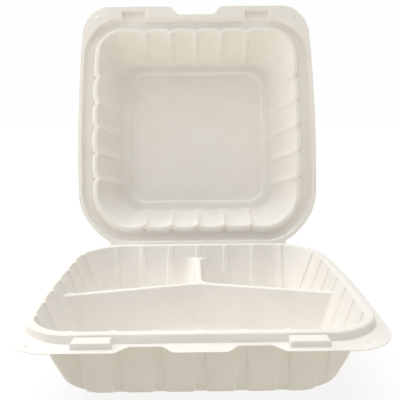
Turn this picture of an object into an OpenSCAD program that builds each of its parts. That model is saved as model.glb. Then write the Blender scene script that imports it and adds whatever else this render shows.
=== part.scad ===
// Square hinged food container with three compartments.
// One thin formed sheet: a tray with a hollow Y divider, and a domed lid on a creased hinge.
// The origin is the middle of the base on the surface it stands on, with the hinge towards +Y.

/* [Sheet] */
// Thickness of the formed sheet
sheet = 0.7; // [0.5:0.05:1]
// Gap left between the lid and the base where they nest
fit_gap = 0.35; // [0.3:0.05:0.6]

/* [Base] */
// Width over the side flanges
width = 204; // [190:1:230]
// Height of the rim above the surface it stands on
base_height = 45; // [40:0.5:55]
// Corner radius of the flange at the front
front_corner = 35; // [33:0.5:42]
// Corner radius of the flange at the hinge
hinge_corner = 45; // [38:0.5:52]
// Slope of the tray walls from the vertical, in degrees
wall_slope = 20; // [14:0.5:22]
// Radius between the walls and the floor
floor_radius = 9; // [4:0.5:10]

/* [Rim] */
// Height of the rim above the flange
rim_rise = 4.5; // [3.8:0.1:6]
// Width of the flat top of the rim
rim_width = 4.7; // [4:0.1:6]
// How far the foot of the rim's skirt stands out past its top
skirt_splay = 1.4; // [0.8:0.1:2]
// Width of the flange outside the skirt
flange_width = 3.5; // [3:0.1:4.5]

/* [Front lip] */
// How far the lip stands out past the flange
lip_reach = 7.5; // [6:0.5:10]
// Corner radius of the lip
lip_corner = 25; // [20:0.5:30]
// Half width of the tongue in the middle of the base's lip
tongue_half = 16.5; // [14:0.5:17]
// Width of the finger gap on each side of the tongue
finger_gap = 22.5; // [18:0.5:24]
// Length of the slanting ends of the gaps
lip_slant = 6.5; // [4:0.5:8]
// Distance of the lock tabs from the middle line
tab_start = 44.5; // [43:0.5:48]
// Width of a lock tab
tab_width = 19.5; // [14:0.5:22]
// How far a lock tab stands out past the skirt
tab_reach = 7; // [5:0.5:8]
// Height of a lock tab above the flange
tab_rise = 3.2; // [2:0.1:3.6]
// Diameter of the snap buttons at the ends of the lip
button_size = 4.4; // [3:0.2:5]

/* [Divider] */
// Depth of the divider's top below the rim
divider_drop = 9.4; // [7:0.2:14]
// Width of the divider's top
divider_width = 4; // [3.2:0.2:6]
// Slope of the divider's sides from the vertical, in degrees
divider_slope = 10; // [6:0.5:12]
// Distance from the middle of the base back to where the three arms meet
divider_meet = 19.7; // [10:0.5:30]
// Angle by which the two front arms lean forward
arm_angle = 15; // [8:0.5:20]
// Radius of the compartment corners beside the divider
pocket_corner = 6; // [4:0.5:8]

/* [Flutes] */
// Distance from one flute to the next
flute_pitch = 22.4; // [18:0.2:30]
// Width of a flute at its rim end
flute_width = 4.4; // [3.6:0.2:6]
// Width of a flute at its far end
flute_foot = 8.6; // [6:0.2:10]
// Depth of a flute
flute_depth = 1.1; // [0.6:0.1:1.6]

/* [Lid] */
// Height of the lid's panel above the crease
lid_height = 36; // [28:0.5:38]
// Slope of the lid walls from the vertical, in degrees
lid_slope = 29; // [22:0.5:32]
// Width of the ridge that plugs the mouth of the base
plug_width = 3.4; // [3:0.1:5]
// Radius of the lid's shoulder
shoulder_radius = 5; // [3:0.5:8]
// Corner radius of the lid's top
crown_corner = 17; // [14:0.5:22]
// Width of the border round the raised panel
panel_border = 7.6; // [6:0.2:10]
// How far the panel stands above its border
panel_rise = 2.4; // [1.5:0.1:3]

/* [Hinge] */
// Distance from the foot of the skirt back to the crease
crease_reach = 4.7; // [4.6:0.1:7]
// Length of the hinge web
web_length = 150; // [100:1:156]
// How far the lid stands open, in degrees from shut
open_angle = 107; // [0:1:180]

/* [Hidden] */

// Plan sizes are half widths, measured from the middle of the base
flange_half = width / 2;
skirt_half = flange_half - flange_width;
rim_half = skirt_half - skirt_splay;
mouth_half = rim_half - rim_width;
lip_front = flange_half + lip_reach;

// Levels
flange_top = base_height - rim_rise;
divider_top = base_height - divider_drop;
crease_y = skirt_half + crease_reach;
crease_z = flange_top + fit_gap / 2;

// Horizontal thickness of the sloped walls
tray_skin = sheet / cos(wall_slope);
lid_skin = sheet / cos(lid_slope);

// Heights in the lid are measured up from the crease, with the lid shut
lid_seat = fit_gap / 2;
channel_top = rim_rise + fit_gap / 2;
border_top = lid_height - panel_rise;

// Plan of the lid, which nests outside the skirt and inside the mouth of the base
channel_half = skirt_half + fit_gap;
channel_crown = rim_half + fit_gap;
dome_half = plug_half(lid_seat) - plug_width;
crown_half = dome_half - (border_top - lid_seat) * tan(lid_slope);
panel_half = crown_half - panel_border;
panel_corner = crown_corner - panel_border / 2;

// Snap buttons sit at the ends of the lip, clear of the rim's corners
button_inset = 16.5;
button_back = 10;
button_x = flange_half - button_inset;
button_y = lip_front - button_back;
button_rise = 1.2;

// A flute's crest as a share of its width, and its foot as a share of the radius that it crosses
crest_share = 0.5;
foot_share = 0.8;

// How many times rounder the front compartment is where the arms meet than in its corners
meet_round = 4;

// Small edge breaks and roundings, and the overlap that keeps cuts clean
rim_break = 0.8;
edge_lean = 0.6;
tab_corner = 1.5;
lip_round = 3;
least_radius = 1.5;
crease_gap = 0.15;
cut = 1;

// Facets in a corner's arc, in whole circles, and degrees between the rings of a rounded edge
arc_steps = 6;
lip_facets = 24;
lip_corner_facets = 48;
button_facets = 20;
edge_step = 30;

function unit(v) = v / norm(v);

// Outline through corners given as [x, y, radius], counter-clockwise
function rounded(corners) = [
    for (i = [0 : len(corners) - 1])
        let (
            here = [corners[i].x, corners[i].y],
            before = corners[(i + len(corners) - 1) % len(corners)],
            after = corners[(i + 1) % len(corners)],
            back = unit([before.x, before.y] - here),
            ahead = unit([after.x, after.y] - here),
            corner_angle = acos(back * ahead),
            centre = here + unit(back + ahead) * corners[i].z / sin(corner_angle / 2),
            start = atan2(back.x, -back.y),
            sweep = 180 - corner_angle
        )
        for (k = [0 : arc_steps])
            let (angle = start + sweep * k / arc_steps)
            centre + corners[i].z * [cos(angle), sin(angle)]
];

// Square outline with its own radii at the front and the hinge
function square_plan(half, front, hinge) = rounded([
    [-half, -half, front], [half, -half, front], [half, half, hinge], [-half, half, hinge]
]);

// Corner radii of the flange's outline, moved in or out all round
function front_radius(half) = front_corner + half - flange_half;
function hinge_radius(half) = hinge_corner + half - flange_half;
function plan(half) = square_plan(half, front_radius(half), hinge_radius(half));

function at_height(outline, z) = [for (p = outline) [p.x, p.y, z]];

// Solid through rings of equal length, listed from the lowest up
module loft(rings) {
    count = len(rings[0]);
    polyhedron(
        points = [for (ring = rings) each ring],
        faces = [
            [for (i = [0 : count - 1]) i],
            for (k = [0 : len(rings) - 2], i = [0 : count - 1])
                let (j = (i + 1) % count)
                each [
                    [k * count + j, k * count + i, (k + 1) * count + i],
                    [k * count + j, (k + 1) * count + i, (k + 1) * count + j]
                ],
            [for (i = [count - 1 : -1 : 0]) (len(rings) - 1) * count + i]
        ]);
}

// Flutes

// Distance from the middle out to an outline's side, at a place along that side
function reach(along, half, radius) =
    abs(along) < half - radius
        ? half
        : half - radius + sqrt(max(0, radius * radius - pow(abs(along) - half + radius, 2)));

// Wedge across a wall, as a ring: level is [height, half width, front radius, hinge radius, depth]
function flute_ring(along, level, radius, wide) =
    let (
        wall = -reach(along, level[1], radius),
        foot = wide / 2,
        crest = foot * crest_share
    )
    at_height([
        [along - foot, wall - 2 * cut], [along + foot, wall - 2 * cut],
        [along + foot, wall], [along + crest, wall + level[4]],
        [along - crest, wall + level[4]], [along - foot, wall]], level[0]);

// Rows of flutes on the four walls, through three levels listed from the lowest up
module flutes(levels, widths) {
    tight = min(levels[0][1] - levels[0][2], levels[2][1] - levels[2][2]);
    last = floor((tight + flute_foot / 2) / flute_pitch);
    for (turn = [0 : 90 : 270], i = [-last : last], k = [0, 1])
        rotate(turn) {
            near_hinge = turn == 180 || (turn == 90 && i > 0) || (turn == 270 && i < 0);
            side = near_hinge ? 3 : 2;
            hull()
                loft([
                    for (level = [k, k + 1])
                        flute_ring(i * flute_pitch, levels[level], levels[level][side], widths[level])
                ]);
        }
}

// Tray

// Half width of the tray's inside at a height
function tray_half(z) = mouth_half - (base_height - z) * tan(wall_slope);

// Half thickness of the divider at a height
function divider_half(z) = divider_width / 2 + (divider_top - z) * tan(divider_slope);

// Outline of a compartment at a height, moved out by grow: 0 is the front one, 1 the right rear one
function pocket_outline(which, z, grow) =
    let (
        half = tray_half(z) + grow,
        gap = divider_half(z) - grow,
        radius = max(pocket_corner + grow, least_radius),
        front = max(front_radius(half), least_radius),
        hinge = max(hinge_radius(half), least_radius),
        lean = tan(arm_angle),
        step = gap / cos(arm_angle),
        arm_end = divider_meet - lean * half
    )
    which == 0
        ? rounded([
            [-half, -half, front], [half, -half, front], [half, arm_end - step, radius],
            [0, divider_meet - step, meet_round * radius], [-half, arm_end - step, radius]])
        : rounded([
            [gap, divider_meet - lean * gap + step, radius], [half, arm_end + step, radius],
            [half, half, hinge], [gap, half, radius]]);

// Compartment as a solid, with its floor at floor_z and its walls moved out by grow
module pocket(which, floor_z, grow) {
    radius = floor_radius + grow;
    loft([
        for (turn = [0 : edge_step : 90])
            let (z = floor_z + radius * (1 - cos(turn)))
            at_height(pocket_outline(which, z, grow - radius * (1 - sin(turn))), z),
        at_height(pocket_outline(which, divider_top, grow), divider_top)
    ]);
}

function tray_level(z, grow, depth) =
    let (half = tray_half(z) + grow)
    [z, half, front_radius(half), hinge_radius(half), depth];

// The space inside the tray, or the tray's outer form when grow is the wall's thickness
module tray_form(floor_z, grow, ledge, top) {
    difference() {
        union() {
            pocket(0, floor_z, grow);
            pocket(1, floor_z, grow);
            mirror([1, 0, 0]) pocket(1, floor_z, grow);
            loft([
                at_height(plan(tray_half(ledge) + grow), ledge),
                at_height(plan(tray_half(top) + grow), top)
            ]);
        }
        flutes([
            tray_level(floor_z - cut / 2, grow, foot_share * floor_radius),
            tray_level(floor_z + floor_radius, grow, flute_depth),
            tray_level(top + cut, grow, flute_depth)
        ], [flute_foot - 2 * grow, flute_foot - 2 * grow, flute_width - 2 * grow]);
    }
}

// Rim

// The rim's form, or the space under it when thin is the sheet's thickness
module rim_form(foot, thin) {
    loft([
        at_height(plan(skirt_half - thin), foot),
        at_height(plan(skirt_half - thin), flange_top),
        at_height(plan(rim_half - thin), base_height - rim_break - thin / 2),
        at_height(plan(rim_half - rim_break - thin), base_height - thin)
    ]);
}

// Lock tabs that stand on the lip against the skirt, moved out by grow
module tabs(foot, top, grow) {
    for (side = [0, 1])
        mirror([side, 0, 0])
            loft([
                for (level = [[foot, grow], [top, grow - edge_lean]])
                    let (
                        left = tab_start - level[1],
                        right = tab_start + tab_width + level[1],
                        front = -skirt_half - tab_reach - level[1],
                        rear = -rim_half + rim_width / 2
                    )
                    at_height(rounded([
                        [left, front, tab_corner], [right, front, tab_corner],
                        [right, rear, tab_corner], [left, rear, tab_corner]]), level[0])
            ]);
}

// Front lip

// Cut back from the lip's edge between two places, with slanting ends
module lip_gap(from, to) {
    half_slant = lip_slant / 2;
    polygon([
        [from - half_slant, -lip_front], [from - half_slant, -lip_front - lip_reach],
        [to + half_slant, -lip_front - lip_reach], [to + half_slant, -lip_front],
        [to - half_slant, -flange_half], [from + half_slant, -flange_half]
    ]);
}

// Flat plate of flange, lip and hinge web. The children are cut out of the lip's edge.
module flange_plate(inner_half) {
    difference() {
        union() {
            offset(r = lip_round, $fn = lip_facets)
                offset(r = -2 * lip_round, $fn = lip_facets)
                    offset(r = lip_round, $fn = lip_facets)
                        difference() {
                            hull() {
                                polygon(plan(flange_half));
                                for (side = [-1, 1])
                                    translate([side * (flange_half - lip_corner), -lip_front + lip_corner])
                                        circle(r = lip_corner, $fn = lip_corner_facets);
                            }
                            children();
                        }
            translate([-web_length / 2, 0]) square([web_length, crease_y - crease_gap]);
        }
        polygon(plan(inner_half));
    }
}

module snap_buttons(z, size, rise) {
    for (side = [-1, 1])
        translate([side * button_x, -button_y, z])
            cylinder(d1 = size - 2 * edge_lean, d2 = size, h = rise, $fn = button_facets);
}

// Base: floor, fluted walls and hollow divider, rim, flange and lip
module base_tray() {
    color("ivory")
        difference() {
            union() {
                difference() {
                    union() {
                        rim_form(flange_top - sheet, 0);
                        tabs(flange_top - sheet, flange_top + tab_rise, 0);
                        translate([0, 0, flange_top - sheet])
                            linear_extrude(height = sheet)
                                flange_plate(skirt_half - sheet / 2)
                                    for (side = [0, 1])
                                        mirror([side, 0])
                                            lip_gap(tongue_half, tongue_half + finger_gap);
                        snap_buttons(flange_top - button_rise - sheet, button_size + 2 * sheet,
                                     button_rise + sheet / 2);
                    }
                    rim_form(flange_top - sheet - cut, sheet);
                    tabs(flange_top - sheet - cut, flange_top + tab_rise - sheet, -sheet);
                    snap_buttons(flange_top - button_rise, button_size, button_rise + cut);
                }
                tray_form(0, tray_skin, divider_top - sheet, base_height - sheet / 2);
            }
            tray_form(sheet, 0, divider_top, base_height + cut);
        }
}

// Lid

// Half width of the plug at a height, clear of the flutes in the base's walls
function plug_half(z) = mouth_half - flute_depth - fit_gap - (channel_top - z) * tan(wall_slope);

function dome_radius(radius, z) =
    let (share = (z - lid_seat) / (border_top - lid_seat))
    radius * (1 - share) + crown_corner * share;

// Outline of the lid's dome at a height, moved out by grow
function dome_outline(z, grow) =
    let (half = dome_half - (z - lid_seat) * tan(lid_slope))
    square_plan(
        half + grow,
        max(dome_radius(front_radius(dome_half), z) + grow, least_radius),
        max(dome_radius(hinge_radius(dome_half), z) + grow, least_radius));

function dome_level(z, grow, depth) =
    let (half = dome_half - (z - lid_seat) * tan(lid_slope) + grow)
    [z, half, dome_radius(front_radius(dome_half), z), dome_radius(hinge_radius(dome_half), z), depth];

// The space inside the lid, or its outer form when grow is the wall's thickness
module dome_form(foot, grow, rise) {
    radius = shoulder_radius + grow;
    top = border_top + rise;
    difference() {
        loft([
            at_height(dome_outline(lid_seat, grow), foot),
            at_height(dome_outline(lid_seat, grow), lid_seat),
            for (turn = [90 : -edge_step : 0])
                let (z = top - radius * (1 - cos(turn)))
                at_height(dome_outline(z, grow - radius * (1 - sin(turn))), z)
        ]);
        flutes([
            dome_level(foot - cut, grow, flute_depth),
            dome_level(top - shoulder_radius, grow, flute_depth),
            dome_level(top + cut / 2, grow, foot_share * shoulder_radius)
        ], [flute_width - 2 * grow, flute_foot - 2 * grow, flute_foot - 2 * grow]);
    }
    loft([
        for (level = [[border_top - cut, 0], [lid_height + rise, edge_lean]])
            at_height(square_plan(panel_half + grow - level[1], panel_corner, panel_corner), level[0])
    ]);
}

// The channel that covers the base's rim, or its outer form when grow is the sheet's thickness
module channel_form(foot, grow) {
    loft([
        at_height(plan(channel_half + grow), foot),
        at_height(plan(channel_half + grow), lid_seat),
        at_height(plan(channel_crown + grow), channel_top - rim_break + grow / 2),
        at_height(plan(channel_crown - rim_break + grow), channel_top + grow)
    ]);
}

// Solid inside the channel, from a foot up past the channel's top, moved in by thin
module plug_form(foot, thin) {
    loft([
        for (z = [foot, channel_top + thin + cut])
            at_height(plan(plug_half(z) - thin), z)
    ]);
}

// Lid as it lies when shut, with the crease at height 0
module shut_lid() {
    difference() {
        union() {
            difference() {
                union() {
                    channel_form(lid_seat, sheet);
                    tabs(lid_seat, tab_rise + lid_seat + sheet, fit_gap + sheet);
                    translate([0, 0, lid_seat])
                        linear_extrude(height = sheet)
                            flange_plate(channel_half + sheet / 2)
                                lip_gap(-tongue_half - fit_gap, tongue_half + fit_gap);
                }
                plug_form(lid_seat + sheet, sheet);
            }
            dome_form(lid_seat, lid_skin, sheet);
            snap_buttons(lid_seat - button_rise + 2 * fit_gap, button_size - 2 * fit_gap, button_rise);
        }
        difference() {
            union() {
                channel_form(lid_seat - cut, 0);
                tabs(lid_seat - cut, tab_rise + lid_seat, fit_gap);
            }
            plug_form(lid_seat - 2 * cut, 0);
        }
        dome_form(lid_seat - cut, 0, 0);
    }
}

// Lid, turned open on the crease
module lid() {
    color("ivory")
        translate([0, crease_y, crease_z])
            rotate([-open_angle, 0, 0])
                translate([0, -crease_y, 0])
                    shut_lid();
}

base_tray();
lid();
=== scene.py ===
"""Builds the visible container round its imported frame: tray, lid, hinge crease and stage."""

import math
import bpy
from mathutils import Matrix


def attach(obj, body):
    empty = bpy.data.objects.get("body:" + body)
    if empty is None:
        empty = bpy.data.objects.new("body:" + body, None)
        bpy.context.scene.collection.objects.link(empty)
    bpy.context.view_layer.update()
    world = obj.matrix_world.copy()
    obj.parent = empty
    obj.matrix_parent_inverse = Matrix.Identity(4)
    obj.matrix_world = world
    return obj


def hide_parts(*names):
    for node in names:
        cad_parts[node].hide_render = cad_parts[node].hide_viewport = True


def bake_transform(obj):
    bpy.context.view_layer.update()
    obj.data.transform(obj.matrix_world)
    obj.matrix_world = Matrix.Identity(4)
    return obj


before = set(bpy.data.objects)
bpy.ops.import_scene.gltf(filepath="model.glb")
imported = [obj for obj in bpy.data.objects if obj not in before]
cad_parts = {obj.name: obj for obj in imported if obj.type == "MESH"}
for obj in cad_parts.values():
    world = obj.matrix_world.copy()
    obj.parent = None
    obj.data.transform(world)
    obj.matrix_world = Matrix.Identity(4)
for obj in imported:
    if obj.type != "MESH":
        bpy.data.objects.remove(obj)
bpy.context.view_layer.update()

from types import SimpleNamespace

import bmesh
import bpy
import numpy as np
from mathutils import Matrix, Vector
from mathutils.geometry import delaunay_2d_cdt

bl_info = {
    "name": "Hinged food container",
    "version": (1, 0, 0),
    "blender": (4, 5, 0),
    "location": "View3D > Sidebar > Container",
    "description": "Formed plastic container with a divided tray and a domed lid",
    "category": "Object",
}

MM = 0.001

# Flutes on each side of the middle one
TRAY_FLUTES = 3
LID_FLUTES = 2

# Steps along a wall: in a flute, between flutes, round a corner and beside the divider's ends
TRAY_FLUTE_STEPS = 12
LID_FLUTE_STEPS = 8
GAP_STEPS = 5
TRAY_CORNER_STEPS = 24
LID_CORNER_STEPS = 36
END_STEPS = 4

# Steps along the divider: round a corner and along a straight
ARC_STEPS = 8
STRAIGHT_STEPS = 14

# Steps from row to row: up the walls, round an edge, round a fillet, and along and across the lip
WALL_STEPS = 4
MOUTH_STEPS = 5
LID_WALL_STEPS = 6
BEND_STEPS = 5
FILLET_STEPS = 8
CURVE_STEPS = 10
PLATE_STEPS = 8

# Soft light from below to above, as the upward part of a direction and the light from there
SOFT_LIGHT = (
    (-1.0, (0.0, 0.0, 0.0)),
    (-0.3, (1.58, 1.51, 1.34)),
    (0.1, (0.0, 0.0, 0.0)),
    (0.5, (0.28, 0.26, 0.30)),
    (1.0, (2.14, 2.15, 2.11)),
)
# Square lights: name, place, the point that it faces, length of a side and watts
SOFT_BOXES = (
    ("key_light", (-0.35, -0.15, 0.25), (0, 0.05, 0.08), 0.15, 0.2),
    ("side_light", (-0.4, 0.12, 0.22), (0, 0.05, 0.08), 0.15, 0.72),
    ("foot_light", (0.42, -0.42, -0.1), (0, -0.08, 0.02), 0.2, 0.18),
)
# The floor lies a hair below the tray's feet, so that the two share no plane
FLOOR_DROP = 0.1 * MM
SURROUND_REACH = 4.0
SURROUND_STEPS = 48

# Camera: its lens and sensor in millimetres, its place in metres and its turns in degrees
LENS = 53.546
SENSOR = 36.0
CAMERA_PLACE = (-0.00166, -0.38141, 0.15907)
CAMERA_PAN = -0.42
CAMERA_TILT = -9.21
CAMERA_ROLL = 0.52
# Turn that brings a camera from looking down to looking level
CAMERA_LEVEL = 90

# Width of the filler's clouds, and of the mould's grain, drawn coarser than the real 0.2 mm so that it shows
CLOUD_SIZE = 18 * MM
GRAIN_SIZE = 0.8 * MM

# Edges sharper than this stay crisp
SHARP_ANGLE = math.radians(38)

# Smallest corner radius, and the distance within which points of two rows become one
LEAST_RADIUS = 1.5 * MM
JOIN = 0.01 * MM

# Least length of wall between a flute and the end of the divider
END_ROOM = 0.3 * MM
# Half widths of a flute that it keeps from the middle of a corner
FLUTE_ROOM = 1.15
# Sine of the farthest turn round a corner that a flute's middle takes
FARTHEST_TURN = 0.6

# Shares of a row's half width at which the bow of the sides sets in and is whole
BOW_SPAN = (0.6, 0.95)
# The larger part of a normal, up to which a wall counts as corner and from which as straight
STRAIGHT_SPAN = (0.9, 0.99)
# Parts of a normal past which it points straight to the front, belongs to the hinge side, or counts at all
FORWARD = 0.9999
BACKWARD = 0.5
TINY = 1e-6

# Corner radii along the divider as each compartment sees it, as shares of the pocket corner
FRONT_ROUNDS = (0.5, 4, 0.5)
REAR_ROUNDS = (1.5, 1.8, 1)

# Largest share of the lines beside a bend that the bend takes up
BEND_SHARE = 0.45
# Where across the rim's top the rows leave the flutes' places for the lip's
SPREAD_SHARE = 0.58
# Room between the last place on the straight front and the corner
FRONT_ROOM = 0.1 * MM
# Widths of the strips along the plate's edge and inside the panel's edge
EDGE_STRIP = 0.3 * MM
PANEL_STRIP = 4 * MM

# Gap between a hinge web and the hinge line, how far the crease laps under a web, and how stiffly it bends
WEB_GAP = 0.1 * MM
CREASE_LAP = 0.3 * MM
CREASE_HANDLE = 0.45 * MM

# Fills an outline on its inside only
FILL_INSIDE = 1

# Places of a Mix node's sockets, several of which share a name
NUMBER_A, NUMBER_B = 2, 3
COLOUR_A, COLOUR_B, MIXED_COLOUR = 6, 7, 2

# What the flutes need to know of each point, and its kind
FLUTE_LAYERS = (
    ("across", "FLOAT"), ("flute_half", "FLOAT"), ("flute_depth", "FLOAT"), ("inward", "FLOAT_VECTOR"))


def length(name, millimetres, description):
    return bpy.props.FloatProperty(
        name=name, description=description, default=millimetres * MM, unit="LENGTH", precision=5)


def slope(name, degrees, description):
    return bpy.props.FloatProperty(
        name=name, description=description, default=math.radians(degrees), subtype="ANGLE")


def share(name, value, description):
    return bpy.props.FloatProperty(name=name, description=description, default=value, min=0.0)


def colour(name, code, description):
    return bpy.props.StringProperty(name=name, description=description, default=code)


class ContainerSizes(bpy.types.PropertyGroup):
    """Sizes that the tray and the lid share"""
    sheet: length("Sheet", 0.7, "Thickness of the formed sheet")
    fit_gap: length("Fit gap", 0.35, "Gap between the lid and the base where they nest")
    width: length("Width", 204, "Width over the side flanges")
    base_height: length("Base height", 45, "Height of the rim above the floor")
    front_corner: length("Front corner", 35, "Corner radius of the flange at the front")
    hinge_corner: length("Hinge corner", 45, "Corner radius of the flange at the hinge")
    foot_corner: length("Foot corner", 17, "Least corner radius of the walls, at the foot of the tray")
    wall_slope: slope("Wall slope", 20, "Slope of the tray walls from the vertical")
    floor_radius: length("Floor radius", 9, "Radius between the walls and the floor")
    rim_rise: length("Rim rise", 4.5, "Height of the rim above the flange")
    rim_width: length("Rim width", 4.7, "Width of the flat top of the rim")
    skirt_splay: length("Skirt splay", 1.4, "How far the skirt's foot stands out past its top")
    flange_width: length("Flange width", 3.5, "Width of the flange outside the skirt")
    lip_reach: length("Lip reach", 7.5, "How far the lip stands out past the flange")
    lip_corner: length("Lip corner", 25, "Corner radius of the lip")
    tongue_half: length("Tongue half", 12.3, "Half width of the tongue in the middle of the tray's lip")
    tongue_root: length("Tongue root", 20, "Half width of that tongue at its root")
    notch_end: length("Notch end", 34.8, "Distance of the far end of a notch from the middle line")
    notch_lip: length("Notch lip", 43, "Distance from the middle line at which the tray's lip is whole again")
    gap_half: length("Gap half", 14.5, "Half width of the gap in the middle of the lid's lip")
    gap_lip: length("Gap lip", 23.5, "Distance from the middle line at which the lid's lip is whole")
    tab_start: length("Tab start", 44.5, "Distance of the lock tabs from the middle line")
    tab_width: length("Tab width", 19.5, "Width of a lock tab")
    tab_reach: length("Tab reach", 7, "How far a lock tab stands out past the skirt")
    tab_rise: length("Tab rise", 3.2, "Height of a lock tab above the flange")
    tab_lean: length("Tab lean", 0.6, "How far the front of a lock tab leans back")
    tab_round: length("Tab round", 0.9, "Rounding of a lock tab's front edge")
    tab_foot: length("Tab foot", 0.6, "Rounding at the foot of a lock tab's front")
    divider_drop: length("Divider drop", 9.4, "Depth of the divider's top below the rim")
    divider_width: length("Divider width", 4, "Width of the divider's top")
    divider_slope: slope("Divider slope", 10, "Slope of the divider's sides from the vertical")
    divider_meet: length("Divider meet", 19.7, "Distance back from the middle to where the arms meet")
    arm_angle: slope("Arm angle", 15, "Angle by which the two front arms lean forward")
    pocket_corner: length("Pocket corner", 6, "Radius of the compartment corners beside the divider")
    flute_pitch: length("Flute pitch", 22.4, "Distance from one flute to the next")
    flute_width: length("Flute width", 4.4, "Width of a flute at its rim end")
    flute_foot: length("Flute foot", 8.6, "Width of a flute at its far end")
    flute_depth: length("Flute depth", 1.4, "Depth of a flute in the tray")
    lid_flute_depth: length("Lid flute depth", 2.3, "Depth of a flute in the lid")
    plug_clear: length("Plug clear", 1.1, "How far the plug stands in, past the fit gap, to clear the flutes")
    lid_height: length("Lid height", 36, "Height of the lid's panel above the crease")
    lid_slope: slope("Lid slope", 27, "Slope of the lid walls from the vertical")
    plug_width: length("Plug width", 3.4, "Width of the ridge that plugs the mouth of the base")
    plug_round: length("Plug round", 1, "Rounding of that ridge's edges")
    channel_round: length("Channel round", 1.1, "Rounding between that ridge and the channel over the rim")
    shoulder_radius: length("Shoulder radius", 2.6, "Radius of the lid's shoulder")
    crown_corner: length("Crown corner", 17, "Corner radius of the lid's top")
    panel_border: length("Panel border", 9.1, "Width of the border round the raised panel")
    panel_rise: length("Panel rise", 2.4, "How far the panel stands above its border")
    panel_corner: length("Panel corner", 13.2, "Corner radius of the raised panel")
    panel_lean: length("Panel lean", 0.7, "Half of the width over which the panel's edge slopes")
    panel_round: length("Panel round", 0.9, "Rounding of the panel's edges")
    crease_reach: length("Crease reach", 4.7, "Distance from the foot of the skirt back to the crease")
    web_length: length("Web length", 150, "Length of the hinge web")
    web_round: length("Web round", 6, "Length over which the ends of the hinge web run into the flange")
    crease_sheet: length("Crease sheet", 0.4, "Thickness of the sheet in the crease")
    open_angle: slope("Open angle", 107, "How far the lid stands open")
    edge_round: length("Edge round", 1.2, "Rounding of the rim's and the divider's edges")
    skirt_round: length("Skirt round", 0.8, "Rounding at the foot of the skirt")
    side_bow: length("Side bow", 4, "How far the two sides draw in over half the width")
    bow_middle: length("Bow middle", -6, "Where the two sides are widest, back from the middle")
    button_size: length("Button size", 4.4, "Diameter of the snap buttons at the ends of the lip")
    button_rise: length("Button rise", 1.2, "Height of a snap button")
    button_foot: length("Button foot", 0.3, "How far a snap button's foot stands out past its diameter")
    button_flank: length("Button flank", 1.4, "Width of a snap button's sloping side")
    button_inset: length("Button inset", 16.5, "Distance of the snap buttons in from the side flanges")
    button_back: length("Button back", 10, "Distance of the snap buttons back from the lip's edge")
    tray_crest: share("Tray crest", 0.667, "Flat part of a tray flute's crest as a share of its width")
    tray_pillow: share("Tray pillow", 0.2, "Part of a tray flute's depth that the swell beside it makes")
    lid_crest: share("Lid crest", 0.25, "Flat part of a lid flute's crest as a share of its width")
    lid_pillow: share("Lid pillow", 0.55, "Part of a lid flute's depth that the swell beside it makes")
    foot_share: share("Foot share", 0.8, "A flute's foot as a share of the radius that it crosses")


class ContainerFinish(bpy.types.PropertyGroup):
    """Colours of the formed sheet"""
    sheet_colour: colour("Sheet colour", "#F2EFE9", "Colour of the formed polypropylene")
    fleck_colour: colour("Fleck colour", "#E9E5DD", "Colour of its faint mineral clouding")


def sizes():
    return bpy.context.scene.container_sizes


def derived():
    """Half widths and levels that follow from the sizes, in metres."""
    s = sizes()
    d = SimpleNamespace()
    d.flange = s.width / 2
    d.skirt = d.flange - s.flange_width
    d.rim = d.skirt - s.skirt_splay
    d.mouth = d.rim - s.rim_width
    d.lip = d.flange + s.lip_reach
    d.flange_top = s.base_height - s.rim_rise
    d.divider_top = s.base_height - s.divider_drop
    d.crease_y = d.skirt + s.crease_reach
    d.crease_z = d.flange_top + s.fit_gap / 2
    d.seat = s.fit_gap / 2
    d.channel_top = s.rim_rise + s.fit_gap / 2
    d.border_top = s.lid_height - s.panel_rise
    d.channel = d.skirt + s.fit_gap
    d.channel_crown = d.rim + s.fit_gap
    d.plug_top = d.mouth - s.plug_clear - s.fit_gap
    d.plug = d.plug_top - (d.channel_top - d.seat) * math.tan(s.wall_slope)
    d.dome = d.plug - s.plug_width
    d.crown = d.dome - (d.border_top - d.seat) * math.tan(s.lid_slope)
    d.panel = d.crown - s.panel_border
    return d


def front_radius(half):
    return max(sizes().front_corner + half - sizes().width / 2, sizes().foot_corner)


def hinge_radius(half):
    return max(sizes().hinge_corner + half - sizes().width / 2, sizes().foot_corner)


def unit(vector):
    return vector / np.linalg.norm(vector)


def smooth(value):
    value = np.clip(value, 0.0, 1.0)
    return value * value * (3 - 2 * value)


def rising(value, span):
    """Rises smoothly from 0 at the start of a span to 1 at its end."""
    start, end = span
    return smooth((value - start) / (end - start))


def bowed(points, half):
    """Draws the two sides of a row in towards their ends. Half is the row's half width."""
    s = sizes()
    x, y = points[:, 0], points[:, 1]
    inset = s.side_bow * ((y - s.bow_middle) / (s.width / 2)) ** 2
    near_side = rising(np.abs(x) / half, BOW_SPAN)
    return np.column_stack((x - np.sign(x) * inset * near_side, y))


# Stations along the walls

def side_radii(side, front, hinge):
    """Corner radii at the start and the end of a side: front, right, back and left."""
    return ((front, front), (front, hinge), (hinge, hinge), (hinge, front))[side]


def turned(points, side):
    """Turns points from the front side's frame to another side's."""
    x, y = points[..., 0], points[..., 1]
    return np.stack(((x, y), (-y, x), (-x, -y), (y, -x))[side], -1)


def side_points(along, half, radii):
    """Points and outward normals at distances along the front side of a rounded square."""
    start = half - radii[0]
    end = half - radii[1]
    turn = np.where(along < -start, (along + start) / radii[0], 0)
    turn = np.where(along > end, (along - end) / radii[1], turn)
    radius = np.where(along > 0, radii[1], radii[0])
    x = np.clip(along, -start, end) + radius * np.sin(turn)
    y = radius - half - radius * np.cos(turn)
    return np.stack((x, y), -1), np.stack((np.sin(turn), -np.cos(turn)), -1)


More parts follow.
